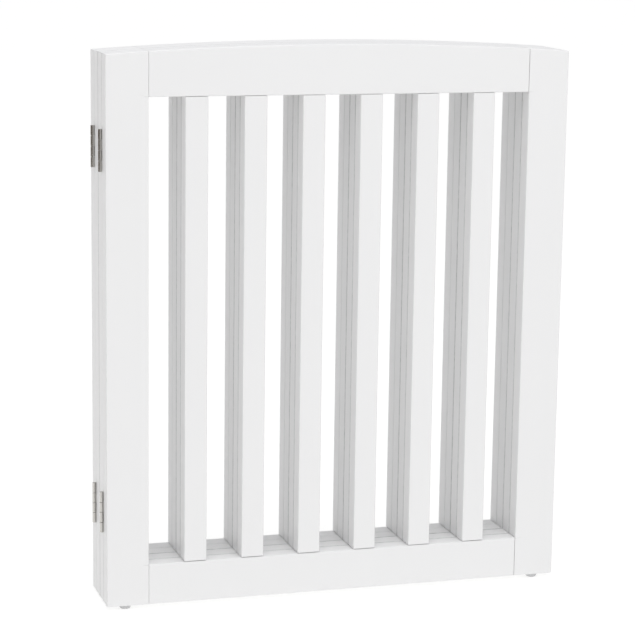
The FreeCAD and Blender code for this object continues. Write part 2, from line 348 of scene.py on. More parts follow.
def zinc_plated_steel(tree, place, plating, roughness):
    """Bright zinc on cold-rolled steel strip: a cool metal mirror blurred by fine rolling
    lines, cloudy where the passivation is thicker."""
    # Passivation clouds are 6 mm across.
    clouds = add_node(tree, "TexNoise", {}, {"Vector": place, "Scale": 1 / (6 * MM)})
    tone = add_node(
        tree, "Mix", COLOUR_MIX,
        {0: clouds.outputs["Fac"], 6: shade(plating, 0.9), 7: shade(plating, 1.04)},
    )
    # Rolling lines are a few hundredths wide, drawn at 0.4 mm so that they show.
    along = add_node(tree, "Mapping", {}, {"Vector": place, "Scale": (1, 1, 0.05)})
    lines = add_node(
        tree, "TexNoise", {},
        {"Vector": along.outputs["Vector"], "Scale": 1 / (0.4 * MM), "Detail": 3.0},
    )
    dulled = {"To Min": roughness * 0.8, "To Max": roughness * 1.25}
    blur = add_node(tree, "MapRange", {}, {"Value": lines.outputs["Fac"], **SPREAD, **dulled})
    scored = add_node(tree, "Bump", {}, {"Height": lines.outputs["Fac"], "Distance": 0.003 * MM})
    return {
        "Base Color": tone.outputs[2],
        "Metallic": 1.0,
        "Roughness": blur.outputs["Result"],
        "Normal": scored.outputs["Normal"],
    }


def moulded_polyethylene(tree, place, plastic):
    """Natural polyethylene from a spark-eroded mould: milky, waxy and finely grained."""
    # Flow marks are 5 mm across.
    flow = add_node(tree, "TexNoise", {}, {"Vector": place, "Scale": 1 / (5 * MM)})
    tone = add_node(
        tree, "Mix", COLOUR_MIX,
        {0: flow.outputs["Fac"], 6: shade(plastic, 0.94), 7: shade(plastic, 1.02)},
    )
    # The mould's grain is 0.1 mm across, drawn at 0.5 mm so that it shows.
    grain = add_node(tree, "TexNoise", {}, {"Vector": place, "Scale": 1 / (0.5 * MM)})
    blur = add_node(
        tree, "MapRange", {},
        {"Value": grain.outputs["Fac"], **SPREAD, "To Min": 0.45, "To Max": 0.6},
    )
    pitted = add_node(tree, "Bump", {}, {"Height": grain.outputs["Fac"], "Distance": 0.01 * MM})
    # Light goes 1.5 mm into the plastic.
    return {
        "Base Color": tone.outputs[2],
        "Roughness": blur.outputs["Result"],
        "Normal": pitted.outputs["Normal"],
        "IOR": 1.51,
        "Subsurface Weight": 0.15,
        "Subsurface Radius": (1.5 * MM, 1.5 * MM, 1.5 * MM),
    }


def turned_beech(tree, place, beech):
    """Turned beech dowel: pale pinkish brown with short darker rays along the grain."""
    # Rays are 0.6 mm across and eight times as long.
    along = add_node(tree, "Mapping", {}, {"Vector": place, "Scale": (0.12, 1, 1)})
    rays = add_node(
        tree, "TexNoise", {},
        {"Vector": along.outputs["Vector"], "Scale": 1 / (0.6 * MM), "Detail": 4.0},
    )
    tone = add_node(
        tree, "Mix", COLOUR_MIX,
        {0: rays.outputs["Fac"], 6: shade(beech, 0.6), 7: shade(beech, 1.15)},
    )
    dulled = {"Value": rays.outputs["Fac"], "To Min": 0.5, "To Max": 0.75}
    blur = add_node(tree, "MapRange", {}, dulled)
    raised = add_node(tree, "Bump", {}, {"Height": rays.outputs["Fac"], "Distance": 0.02 * MM})
    return {
        "Base Color": tone.outputs[2],
        "Roughness": blur.outputs["Result"],
        "Normal": raised.outputs["Normal"],
    }


def opal_acrylic(tree, place, sheet, glow):
    """A light table's matt opal acrylic sheet: pale, even, with a faint cloudiness."""
    # The cloudiness has patches 15 mm across.
    clouds = add_node(tree, "TexNoise", {}, {"Vector": place, "Scale": 1 / (15 * MM)})
    tone = add_node(
        tree, "Mix", COLOUR_MIX,
        {0: clouds.outputs["Fac"], 6: shade(sheet, 0.98), 7: shade(sheet, 1.0)},
    )
    dulled = {"Value": clouds.outputs["Fac"], "To Min": 0.8, "To Max": 0.95}
    blur = add_node(tree, "MapRange", {}, dulled)
    return {
        "Base Color": tone.outputs[2],
        "Roughness": blur.outputs["Result"],
        "Specular IOR Level": 0.0,
        "Emission Color": shade(linear("FFFFFE"), 1.0),
        "Emission Strength": glow,
    }


def duvetyne(tree, place, cloth):
    """Dark brushed cotton of a studio flag: it takes light off the bright metal."""
    # The nap lies in patches 40 mm across.
    nap = add_node(tree, "TexNoise", {}, {"Vector": place, "Scale": 1 / (40 * MM)})
    tone = add_node(
        tree, "Mix", COLOUR_MIX,
        {0: nap.outputs["Fac"], 6: shade(cloth, 0.8), 7: shade(cloth, 1.2)},
    )
    return {
        "Base Color": tone.outputs[2],
        "Roughness": 0.95,
        "Specular IOR Level": 0.1,
    }


# ---- Mesh work ---------------------------------------------------------------

def new_mesh():
    """An empty mesh whose points can be marked as lying inside a rounded edge."""
    mesh = bmesh.new()
    mesh.verts.layers.float.new("eased")
    return mesh


def add_box(mesh, low, high):
    """Add a box between two opposite corners."""
    size = high - low
    place = Matrix.Translation((low + high) / 2) @ Matrix.Diagonal((*size, 1))
    bmesh.ops.create_cube(mesh, size=1, matrix=place)


def saw(mesh, axis, place, faces=None):
    """Score the faces, or the whole surface, where a coordinate has the given value."""
    normal = Vector([float(letter == axis) for letter in AXES])
    faces = list(mesh.faces) if faces is None else faces
    around = set(faces)
    for face in faces:
        around.update(face.edges)
        around.update(face.verts)
    bmesh.ops.bisect_plane(
        mesh, geom=list(around), plane_co=normal * place, plane_no=normal, dist=WELD
    )


def only(kind, geometry):
    """The parts of some geometry that are of one kind."""
    return [part for part in geometry if isinstance(part, kind)]


def lies_at(vert, places):
    """Whether a point has the given coordinates, named by axis."""
    return all(abs(vert.co[AXES.index(axis)] - place) < SAME_PLACE for axis, place in places.items())


def edges_at(mesh, **places):
    """Edges with both ends at the given coordinates."""
    return [edge for edge in mesh.edges if all(lies_at(vert, places) for vert in edge.verts)]


def faces_at(mesh, **places):
    """Faces with all their corners at the given coordinates."""
    return [face for face in mesh.faces if all(lies_at(vert, places) for vert in face.verts)]


def between(value, low, high):
    """Whether a value lies between two others."""
    return low < value < high


def shade_and_wear_of_round(depth, board_front, board_rear, radius):
    """How grey a round is painted: painted shade, most in the middle seam and less in the front pair's
    seam; in the rear seam and outside only a little edge wear.
    """
    gate_front, gate_rear = CAD_BOX[0].y, CAD_BOX[1].y
    middle = (gate_front + gate_rear) / 2
    if abs(depth - middle) < 2 * radius:
        return MIDDLE_SEAM_SHADE
    meets_ahead = depth - board_front < radius and board_front - gate_front > radius
    meets_behind = board_rear - depth < radius and gate_rear - board_rear > radius
    return FRONT_SEAM_SHADE if depth < middle and (meets_ahead or meets_behind) else OPEN_WEAR


def round_edges(mesh, edges, radius, steps):
    """Round edges, and note on the points inside each round how much painted shade and edge wear their
    enamel gets.
    """
    board_front = min(vert.co.y for vert in mesh.verts)
    board_rear = max(vert.co.y for vert in mesh.verts)
    circular = 0.5
    made = bmesh.ops.bevel(
        mesh, geom=edges, offset=radius, offset_type="OFFSET", segments=steps, affect="EDGES",
        profile_type="SUPERELLIPSE", profile=circular, clamp_overlap=True, material=-1,
    )
    eased = mesh.verts.layers.float["eased"]
    rounds = set(made["faces"])
    for vert in made["verts"]:
        if all(face in rounds for face in vert.link_faces):
            vert[eased] = shade_and_wear_of_round(vert.co.y, board_front, board_rear, radius)


def push_face(mesh, face, move):
    """Draw one face out along a vector, and return it."""
    face = bmesh.ops.extrude_discrete_faces(mesh, faces=[face])["faces"][0]
    bmesh.ops.translate(mesh, verts=face.verts, vec=move)
    return face


def turn_profile(points, steps):
    """A solid turned about Z from (radius, height) points."""
    mesh = new_mesh()
    verts = [mesh.verts.new((radius, 0, height)) for radius, height in points]
    edges = [mesh.edges.new(ends) for ends in zip(verts, verts[1:])]
    bmesh.ops.spin(
        mesh, geom=verts + edges, cent=ORIGIN, axis=UP, dvec=ORIGIN, angle=math.tau, steps=steps,
        use_merge=True,
    )
    bmesh.ops.remove_doubles(mesh, verts=mesh.verts, dist=WELD)
    return mesh


def join_copy(whole, part, place):
    """Add a copy of a part to a mesh, at a place given by a matrix."""
    copy = part.copy()
    copy.transform(place)
    if place.determinant() < 0:
        bmesh.ops.reverse_faces(copy, faces=copy.faces)
    carrier = bpy.data.meshes.new("carrier")
    copy.to_mesh(carrier)
    copy.free()
    whole.from_mesh(carrier)
    bpy.data.meshes.remove(carrier)


def place_object(name, data, place):
    """Make an object of some data and put it in the scene, at a place given by a matrix."""
    thing = bpy.data.objects.new(name, data)
    thing.matrix_world = place
    bpy.context.scene.collection.objects.link(thing)
    return thing


def place_mesh(mesh, name, material):
    """Turn a mesh into an object of the scene with one material."""
    data = bpy.data.meshes.new(name)
    mesh.to_mesh(data)
    mesh.free()
    data.materials.append(material)
    return place_object(name, data, Matrix())


def finish_piece(mesh, node, making, body, material):
    """Make the object, shade it, hang it on its body and let it stand for its node."""
    crease = math.radians(35)
    bmesh.ops.dissolve_degenerate(mesh, dist=WELD, edges=mesh.edges)
    bmesh.ops.recalc_face_normals(mesh, faces=mesh.faces)
    piece = place_mesh(mesh, node + making, material)
    piece.data.shade_smooth()
    piece.data.set_sharp_from_angle(angle=crease)
    flat = piece.modifiers.new("Flat faces stay flat", "WEIGHTED_NORMAL")
    flat.keep_sharp = True
    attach(piece, body)
    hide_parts(node)


# ---- Where things are --------------------------------------------------------

def opening_of(panel):
    """Lowest and highest corner of a panel's opening between its rails and stiles."""
    bottom_low, bottom_high = BOX[panel + "_bottom_rail"]
    top_low, top_high = BOX[panel + "_top_rail"]
    low = Vector((bottom_low.x, bottom_low.y, bottom_high.z))
    high = Vector((top_high.x, top_high.y, top_low.z))
    return low, high


def arch_drop(panel, x):
    """How far the arched top edge at x is below its highest point."""
    rail_high = BOX[panel + "_top_rail"][1]
    stile_high = BOX[panel + "_right_stile"][1]
    rise = rail_high.z - stile_high.z
    radius = (rail_high.x ** 2 + rise ** 2) / (2 * rise)
    return radius - math.sqrt(radius ** 2 - x ** 2)


def follow_arch(mesh, panel):
    """Lower the flat top of a board so that it follows the panel's arch."""
    boards = bpy.context.scene.gate_boards
    top = BOX[panel + "_top_rail"][1].z
    for vert in mesh.verts:
        if vert.co.z > top - boards.gap_depth - boards.edge_radius:
            vert.co.z -= arch_drop(panel, vert.co.x)


def slats_of(panel):
    """Names of a panel's slats, from left to right."""
    return sorted(name for name in frame["nodes"] if name.startswith(panel + "_slat_"))


def pin_node(joint):
    """The node of the pins that a joint turns on."""
    return "hinge_pins_" + joint["name"].removeprefix("fold_")


def hinge_feet(joint):
    """Where the pins of a joint's lower and upper hinge start."""
    low, high = BOX[pin_node(joint)]
    middle = (low + high) / 2
    upper = high.z - bpy.context.scene.gate_hinges.leaf_length
    return [Matrix.Translation((middle.x, middle.y, height)) for height in (low.z, upper)]


def panel_hinges(panel):
    """The hinges a panel carries a leaf of, each with the matrix from the hinge's own
    frame. There the pin runs up Z from the hinge's foot, the leaf reaches out along +X
    and lies on the +Y side of the plane between the two panels."""
    found = []
    for joint in JOINTS:
        if panel not in (joint["parent"], joint["child"]):
            continue
        swings = panel == joint["child"]
        for foot in hinge_feet(joint):
            inward = -1 if foot.translation.x > 0 else 1
            place = foot @ Matrix.Diagonal((inward, 1 if swings else -1, 1, 1))
            found.append({"matrix": place, "swings": swings})
    return found


def leaf_reach():
    """How far a leaf reaches from the pin's axis into the panel."""
    pin_low, pin_high = BOX["hinge_pins_1_2"]
    return BOX["panel_1_hinge_leaves"][1].x - (pin_low.x + pin_high.x) / 2


def screw_places():
    """Where each screw's axis meets the leaf's open face, in the hinge's own frame."""
    hinges = bpy.context.scene.gate_hinges
    step = (hinges.leaf_length - 2 * hinges.screw_end) / (hinges.screws - 1)
    return [
        Vector((
            hinges.screw_far if index % 2 else hinges.screw_near,
            hinges.leaf_gap / 2,
            hinges.screw_end + index * step,
        ))
        for index in range(hinges.screws)
    ]


# ---- Painted boards ----------------------------------------------------------

def cut_leaf_seat(mesh, panel, hinge):
    """Cut the shallow recess in a stile's face that one hinge leaf is let into."""
    hinges = bpy.context.scene.gate_hinges
    room = hinges.seat_room
    reach = leaf_reach() + room
    corner_steps = 4
    board_low, board_high = BOX[panel + "_bottom_rail"]
    place = hinge["matrix"]
    near = place @ Vector((0, 0, -room))
    far = place @ Vector((reach, 0, hinges.leaf_length + room))
    floor = (place @ Vector((0, hinges.leaf_gap / 2 + hinges.leaf_thickness, 0))).y
    face = board_high.y if near.y > board_high.y else board_low.y
    end = max((vert.co.x for vert in mesh.verts), key=lambda x: x * near.x)
    for height in (near.z, far.z):
        saw(mesh, "z", height)
    saw(mesh, "x", far.x)
    saw(mesh, "y", floor)
    opened = []
    for patch in faces_at(mesh, y=face) + faces_at(mesh, x=end):
        middle = patch.calc_center_median()
        in_height = between(middle.z, near.z, far.z)
        in_reach = abs(middle.x - near.x) < reach
        in_depth = abs(middle.y - face) < abs(floor - face)
        if in_height and in_reach and in_depth:
            opened.append(patch)
    bmesh.ops.delete(mesh, geom=opened, context="FACES")
    back = [edge for edge in edges_at(mesh, x=far.x, y=face) if edge.is_boundary]
    wall = bmesh.ops.extrude_edge_only(mesh, edges=back)["geom"]
    drawn = only(BMVert, wall)
    bmesh.ops.translate(mesh, verts=drawn, vec=(0, floor - face, 0))
    for height in (near.z, far.z):
        outer = next(vert for vert in mesh.verts if lies_at(vert, {"x": end, "y": floor, "z": height}))
        inner = next(vert for vert in drawn if lies_at(vert, {"z": height}))
        bmesh.ops.contextual_create(mesh, geom=[outer, inner])
    open_edges = [edge for edge in mesh.edges if edge.is_boundary or edge.is_wire]
    bmesh.ops.holes_fill(mesh, edges=open_edges, sides=0)
    corners = [
        edge
        for height in (near.z, far.z)
        for edge in edges_at(mesh, x=far.x, z=height)
        if between(edge.calc_length(), 0, abs(floor - face) + SAME_PLACE)
    ]
    round_edges(mesh, corners, hinges.corner_radius + room, corner_steps)


def stile(panel, side):
    """An upright: a flat-topped box with its hinge seats, eased, then cut to the arch."""
    boards = bpy.context.scene.gate_boards
    low, high = BOX[panel + side]
    opening_low, opening_high = opening_of(panel)
    high = Vector((high.x, high.y, BOX[panel + "_top_rail"][1].z))
    outer, inner = (low.x, high.x) if low.x < 0 else (high.x, low.x)
    mesh = new_mesh()
    add_box(mesh, low, high)
    stop = Vector((0, 0, boards.edge_radius))
    for height in (opening_low - stop, opening_low, opening_high, opening_high + stop):
        saw(mesh, "z", height.z)
    for hinge in panel_hinges(panel):
        if hinge["matrix"].translation.x * outer > 0:
            cut_leaf_seat(mesh, panel, hinge)
    eased = []
    for depth in (low.y, high.y):
        eased += edges_at(mesh, x=outer, y=depth)
        eased += edges_at(mesh, y=depth, z=low.z)
        eased += edges_at(mesh, y=depth, z=high.z)
        eased += [
            edge for edge in edges_at(mesh, x=inner, y=depth)
            if between(sum(vert.co.z for vert in edge.verts) / 2, opening_low.z, opening_high.z)
        ]
    for height in (low.z, high.z):
        eased += edges_at(mesh, x=outer, z=height)
    round_edges(mesh, list(set(eased)), boards.edge_radius, boards.edge_steps)
    # The cuts let the flat top bend to the arch.
    strips = 4
    for step in range(1, strips):
        saw(mesh, "x", inner + (outer - inner) * step / strips)
    follow_arch(mesh, panel)
    return mesh


def cut_mortises(mesh, panel, face_height, way):
    """Sink a mortise in a rail's inner edge for each slat's tenon."""
    boards = bpy.context.scene.gate_boards
    rail_low, rail_high = BOX[panel + "_bottom_rail"]
    middle = (rail_low.y + rail_high.y) / 2
    half_depth = boards.tenon_thickness / 2 + boards.mortise_room
    spans = []
    for name in slats_of(panel):
        slat_low, slat_high = BOX[name]
        bare = boards.tenon_shoulder - boards.mortise_room
        spans.append((slat_low.x + bare, slat_high.x - bare))
    for span in spans:
        for side in span:
            saw(mesh, "x", side, faces_at(mesh, z=face_height))
    for depth in (middle - half_depth, middle + half_depth):
        saw(mesh, "y", depth, faces_at(mesh, z=face_height))
    for span_low, span_high in spans:
        floor = []
        for face in faces_at(mesh, z=face_height):
            centre = face.calc_center_median()
            if between(centre.x, span_low, span_high) and abs(centre.y - middle) < half_depth:
                floor.append(face)
        sunk = bmesh.ops.extrude_face_region(mesh, geom=floor)["geom"]
        bmesh.ops.delete(mesh, geom=floor, context="FACES")
        bmesh.ops.translate(mesh, verts=only(BMVert, sunk), vec=(0, 0, way * boards.mortise_depth))


def rail(panel, node, arched):
    """A rail whose ends stand a hairline off the stiles, but for the glued middle."""
    boards = bpy.context.scene.gate_boards
    low, high = BOX[panel + node]
    left = Vector((boards.left_gap, 0, 0))
    right = Vector((boards.right_gap, 0, 0))
    mesh = new_mesh()
    add_box(mesh, low + left, high - right)
    for end, way in ((low.x + left.x, -left), (high.x - right.x, right)):
        glued = faces_at(mesh, x=end)
        bmesh.ops.inset_region(mesh, faces=glued, thickness=boards.gap_depth, use_even_offset=True)
        push_face(mesh, glued[0], way)
    long_edges = []
    for depth in (low.y, high.y):
        long_edges += edges_at(mesh, y=depth, z=low.z) + edges_at(mesh, y=depth, z=high.z)
    round_edges(mesh, long_edges, boards.edge_radius, boards.edge_steps)
    if arched:
        for step in range(1, boards.arch_steps):
            saw(mesh, "x", low.x + (high.x - low.x) * step / boards.arch_steps)
        follow_arch(mesh, panel)
        cut_mortises(mesh, panel, low.z, 1)
    else:
        cut_mortises(mesh, panel, high.z, -1)
    return mesh


def slat(panel, node):
    """A slat whose shoulders stand a hairline off the rails, with its stub tenons."""
    boards = bpy.context.scene.gate_boards
    tenon_low, tenon_high = BOX[node]
    opening_low, opening_high = opening_of(panel)
    low = Vector((tenon_low.x, tenon_low.y, opening_low.z + boards.foot_gap))
    high = Vector((tenon_high.x, tenon_high.y, opening_high.z - boards.head_gap))
    size = high - low
    narrowed = (
        (size.x - 2 * boards.tenon_shoulder) / size.x,
        boards.tenon_thickness / size.y,
        1,
    )
    mesh = new_mesh()
    add_box(mesh, low, high)
    for shoulder, tip in ((low.z, tenon_low.z), (high.z, tenon_high.z)):
        face = push_face(mesh, faces_at(mesh, z=shoulder)[0], (0, 0, 0))
        middle = Matrix.Translation(-face.calc_center_median())
        bmesh.ops.scale(mesh, vec=narrowed, verts=face.verts, space=middle)
        push_face(mesh, face, (0, 0, tip - shoulder))
    uprights = []
    for depth in (low.y, high.y):
        uprights += edges_at(mesh, x=low.x, y=depth) + edges_at(mesh, x=high.x, y=depth)
    round_edges(mesh, uprights, boards.edge_radius, boards.edge_steps)
    return mesh


# ---- Hinges ------------------------------------------------------------------

def sink_screw_hole(leaf, place):
    """Cut a countersunk hole through a leaf's plate, ringed by a square patch."""
    hinges = bpy.context.scene.gate_hinges
    patch_margin = 0.4 * MM
    head_slack = 0.05 * MM
    cuts_per_side = 3
    reach = hinges.head_radius + patch_margin
    wide = hinges.head_radius + head_slack
    rings = []
    for depth, radius in ((0, wide), (hinges.leaf_thickness, wide - hinges.leaf_thickness)):
        surface = place.y + depth
        for axis, middle in (("x", place.x), ("z", place.z)):
            for way in (-reach, reach):
                saw(leaf, axis, middle + way, faces_at(leaf, y=surface))
        centre = Vector((place.x, surface, place.z))
        patch = min(
            faces_at(leaf, y=surface), key=lambda face: (face.calc_center_median() - centre).length
        )
        bmesh.ops.bisect_edges(leaf, edges=patch.edges, cuts=cuts_per_side)
        disc = push_face(leaf, patch, (0, 0, 0))
        for vert in disc.verts:
            vert.co = centre + (vert.co - centre).normalized() * radius
        rings += disc.edges
        bmesh.ops.delete(leaf, geom=[disc], context="FACES_ONLY")
    bmesh.ops.bridge_loops(leaf, edges=rings)


def roll_knuckle(leaf, z_low, z_high):
    """Roll one tab of the sheet round the pin, until its end meets the sheet again."""
    hinges = bpy.context.scene.gate_hinges
    inner = hinges.leaf_gap / 2
    notch = hinges.barrel_radius + hinges.notch_room
    bore = hinges.barrel_radius - hinges.leaf_thickness
    start = math.radians(58)
    end = math.radians(355)
    steps = 28
    tab = next(
        face for face in faces_at(leaf, x=notch)
        if between(face.calc_center_median().z, z_low, z_high)
    )
    tab = push_face(leaf, tab, (-hinges.notch_room, 0, 0))
    tab = push_face(leaf, tab, (-hinges.notch_room, 0, 0))
    for vert in tab.verts:
        radius = bore if abs(vert.co.y - inner) < hinges.leaf_thickness / 2 else hinges.barrel_radius
        vert.co.x = radius * math.cos(start)
        vert.co.y = radius * math.sin(start)
    bmesh.ops.spin(
        leaf, geom=[tab], cent=ORIGIN, axis=UP, dvec=ORIGIN, angle=end - start, steps=steps
    )
    bmesh.ops.delete(leaf, geom=[tab], context="FACES_ONLY")


def rolled_leaf(first_knuckle):
    """A hinge leaf in the hinge's own frame, stamped and rolled from one sheet."""
    hinges = bpy.context.scene.gate_hinges
    reach = leaf_reach()
    inner = hinges.leaf_gap / 2
    notch = hinges.barrel_radius + hinges.notch_room
    pitch = hinges.leaf_length / hinges.knuckles
    corner_steps = 6
    leaf = new_mesh()
    far_corner = Vector((reach, inner + hinges.leaf_thickness, hinges.leaf_length))
    add_box(leaf, Vector((notch, inner, 0)), far_corner)
    corners = edges_at(leaf, x=reach, z=0) + edges_at(leaf, x=reach, z=hinges.leaf_length)
    round_edges(leaf, corners, hinges.corner_radius, corner_steps)
    for place in screw_places():
        sink_screw_hole(leaf, place)
    for index in range(first_knuckle, hinges.knuckles, 2):
        z_low = index * pitch + (hinges.knuckle_gap / 2 if index else 0)
        last = index == hinges.knuckles - 1
        z_high = (index + 1) * pitch - (0 if last else hinges.knuckle_gap / 2)
        for height in (z_low, z_high):
            saw(leaf, "z", height, faces_at(leaf, x=notch))
        roll_knuckle(leaf, z_low, z_high)
    return leaf


def countersunk_screw():
    """A wood screw with a cross recess and a thread, pointing up from its head at z = 0."""
    hinges = bpy.context.scene.gate_hinges
    half_slot = 0.35 * MM
    half_cross = 1.5 * MM
    recess = 0.7 * MM
    point = 2.5 * MM
    tip = 0.02 * MM
    sides = 24
    thread = 0.35 * MM
    turns = 9
    steps_per_turn = 12
    screw = new_mesh()
    # The recess starts as three by three squares, which lose their corner squares.
    bmesh.ops.create_grid(screw, x_segments=3, y_segments=3, size=half_cross)
    for vert in screw.verts:
        for axis in (0, 1):
            reach = half_cross if abs(vert.co[axis]) > half_cross / 2 else half_slot
            vert.co[axis] = math.copysign(reach, vert.co[axis])
    corners = [
        face for face in screw.faces
        if all(abs(value) > half_slot for value in face.calc_center_median().xy)
    ]
    bmesh.ops.delete(screw, geom=corners, context="FACES")
    cross = [edge for edge in screw.edges if edge.is_boundary]
    sunk = bmesh.ops.extrude_edge_only(screw, edges=cross)["geom"]
    rim_edges = only(BMEdge, sunk)
    rim_verts = {vert for edge in rim_edges for vert in edge.verts}
    floor = [vert for vert in screw.verts if vert not in rim_verts]
    bmesh.ops.translate(screw, verts=floor, vec=(0, 0, recess))
    circle = bmesh.ops.create_circle(screw, segments=sides, radius=hinges.head_radius)["verts"]
    edge_ring = list({edge for vert in circle for edge in vert.link_edges})
    lip = [edge for edge in rim_edges if edge.is_boundary]
    bmesh.ops.triangle_fill(screw, use_beauty=True, edges=lip + edge_ring, normal=(0, 0, -1))
    head_depth = hinges.head_radius - hinges.shank_radius
    stops = (
        (hinges.shank_radius, head_depth),
        (hinges.shank_radius, hinges.screw_length - point),
        (tip, hinges.screw_length),
    )
    radius, height = hinges.head_radius, 0
    for next_radius, next_height in stops:
        drawn = bmesh.ops.extrude_edge_only(screw, edges=edge_ring)["geom"]
        verts = only(BMVert, drawn)
        edge_ring = [
            edge for edge in only(BMEdge, drawn) if all(vert in verts for vert in edge.verts)
        ]
        ratio = next_radius / radius
        bmesh.ops.scale(screw, vec=(ratio, ratio, 1), verts=verts)
        bmesh.ops.translate(screw, verts=verts, vec=(0, 0, next_height - height))
        radius, height = next_radius, next_height
    bmesh.ops.holes_fill(screw, edges=edge_ring, sides=0)
    pitch = (hinges.screw_length - point - 2 * head_depth) / turns
    root = hinges.shank_radius * 0.95
    half_width = pitch * 0.3
    ridge = [
        screw.verts.new((root, 0, 2 * head_depth - half_width)),
        screw.verts.new((hinges.shank_radius + thread, 0, 2 * head_depth)),
        screw.verts.new((root, 0, 2 * head_depth + half_width)),
    ]
    rise = (0, 0, pitch / steps_per_turn)
    bmesh.ops.spin(
        screw, geom=[screw.faces.new(ridge)], cent=ORIGIN, axis=UP, dvec=rise,
        angle=math.tau * turns, steps=steps_per_turn * turns,
    )
    return screw


def hinge_pin():
    """A pin with domed ends, standing on z = 0."""
    hinges = bpy.context.scene.gate_hinges
    low, high = BOX["hinge_pins_1_2"]
    radius = (high.x - low.x) / 2
    dome = radius * 0.4
    dome_steps = 3
    sides = 24
    pin = new_mesh()
    middle = Matrix.Translation((0, 0, hinges.leaf_length / 2))
    bmesh.ops.create_cone(
        pin, cap_ends=True, segments=sides, radius1=radius, radius2=radius,
        depth=hinges.leaf_length, matrix=middle,
    )
    ends = edges_at(pin, z=0) + edges_at(pin, z=hinges.leaf_length)
    round_edges(pin, ends, dome, dome_steps)
    return pin


# ---- Glides ------------------------------------------------------------------

def floor_glide(panel):
    """A moulded glide with its stem, its axis on Z."""
    glides = bpy.context.scene.gate_glides
    low, high = BOX[panel + "_glides"]
    seat = BOX[panel + "_bottom_rail"][0].z
    radius = (high.y - low.y) / 2
    soften = 0.5 * MM
    sides = 40
    round_steps = 6
    profile = (
        (0, high.z),
        (glides.stem_radius - soften, high.z),
        (glides.stem_radius, high.z - soften),
        (glides.stem_radius, seat),
        (radius - soften, seat),
        (radius, seat - soften),
        (radius, 0),
        (0, 0),
    )
    glide = turn_profile(profile, sides)
    foot = [
        edge for edge in edges_at(glide, z=0)
        if all(vert.co.xy.length > glides.stem_radius for vert in edge.verts)
    ]
    round_edges(glide, foot, glides.foot_round, round_steps)
    return glide


# ---- Operators ---------------------------------------------------------------

def finish_board(board, node, panel, lie, grain):
    """Finish a board in enamel, its grain stretched along the board."""
    paint = tuple(bpy.context.scene.gate_boards.paint)
    enamel = shared("sprayed_enamel_" + lie, sprayed_enamel, paint, grain)
    finish_piece(board, node, "_painted", panel, enamel)


class GATE_OT_stage(bpy.types.Operator):
    """Lay the floor, hang the lights and set up the camera"""

    bl_idname = "gate.stage"
    bl_label = "Stage"

    def execute(self, context):
        stage = context.scene.gate_stage
        squares = 8
        floor = bmesh.new()
        bmesh.ops.create_grid(floor, x_segments=squares, y_segments=squares, size=stage.floor_size / 2)
        acrylic = shared("opal_acrylic", opal_acrylic, tuple(stage.sheet), stage.floor_glow)
        place_mesh(floor, "floor", acrylic)

        world = bpy.data.worlds.new("even_room_light")
        world.use_nodes = True
        background = world.node_tree.nodes["Background"]
        background.inputs["Color"].default_value = shade(linear("FDFDFF"), 1.0)
        background.inputs["Strength"].default_value = stage.sky
        context.scene.world = world

        self.hang_light(stage)
        self.hang_softbox(stage)
        self.stand_flag(stage, "side_flag", stage.side_flag_start, stage.side_flag_turn)
        front_flag = self.stand_flag(
            stage, "front_flag", stage.front_flag_start, stage.front_flag_turn
        )
        front_flag.visible_diffuse = False
        self.set_camera(context, stage)
        context.scene.view_settings.view_transform = "Standard"
        return {"FINISHED"}

    def hang_light(self, stage):
        """A wide soft light above and a little in front of the gate."""
        light = bpy.data.lights.new("wide_overhead_light", "SUN")
        light.energy = stage.key_strength
        light.angle = stage.key_spread
        overhead = Matrix.Translation((0, 0, 3))
        place_object(light.name, light, overhead @ Matrix.Rotation(stage.key_lean, 4, "X"))

    def hang_softbox(self, stage):
        """A square softbox above the front, aimed at the middle of the gate."""
        light = bpy.data.lights.new("softbox", "AREA")
        light.shape = "SQUARE"
        light.size = stage.softbox_size
        light.energy = stage.softbox_power
        middle = (CAD_BOX[0] + CAD_BOX[1]) / 2
        aim = (middle - stage.softbox_place).to_track_quat("-Z", "Y").to_matrix().to_4x4()
        lamp = place_object(light.name, light, Matrix.Translation(stage.softbox_place) @ aim)
        lamp.visible_camera = False

    def stand_flag(self, stage, name, start, turn):
        """A low curved flag of dark cloth round the hinged end, hidden from the camera."""
        steps = 40
        hinged_end = Vector((CAD_BOX[0].x, 0, 0))
        outward = Vector((math.cos(start), math.sin(start), 0))
        flag = bmesh.new()
        foot = flag.verts.new(
            hinged_end + outward * stage.flag_distance + Vector((0, 0, stage.flag_foot))
        )
        head = flag.verts.new(foot.co + Vector((0, 0, stage.flag_height)))
        side = [foot, head, flag.edges.new((foot, head))]
        bmesh.ops.spin(
            flag, geom=side, cent=hinged_end, axis=UP, dvec=ORIGIN, angle=turn, steps=steps
        )
        piece = place_mesh(flag, name, shared("duvetyne", duvetyne, tuple(stage.flag_cloth)))
        piece.visible_camera = False
        piece.visible_shadow = False
        return piece

    def set_camera(self, context, stage):
        """Stand the camera in its place, looking down at the gate from the front left."""
        camera = bpy.data.cameras.new("camera")
        camera.lens = stage.lens
        camera.dof.use_dof = False
        camera.clip_end = stage.floor_size
        turn = Matrix.Rotation(-stage.heading, 4, "Z")
        turn = turn @ Matrix.Rotation(math.pi / 2 - stage.pitch, 4, "X")
        turn = turn @ Matrix.Rotation(stage.roll, 4, "Z")
        place = Matrix.Translation(stage.camera_place) @ turn
        context.scene.camera = place_object("camera", camera, place)


class GATE_OT_stiles(bpy.types.Operator):
    """Make the left and right stile of every panel"""

    bl_idname = "gate.stiles"
    bl_label = "Stiles"

    def execute(self, context):
        for panel in PANELS:
            for side in ("_left_stile", "_right_stile"):
                finish_board(stile(panel, side), panel + side, panel, "uprights", GRAIN_UP)
        return {"FINISHED"}


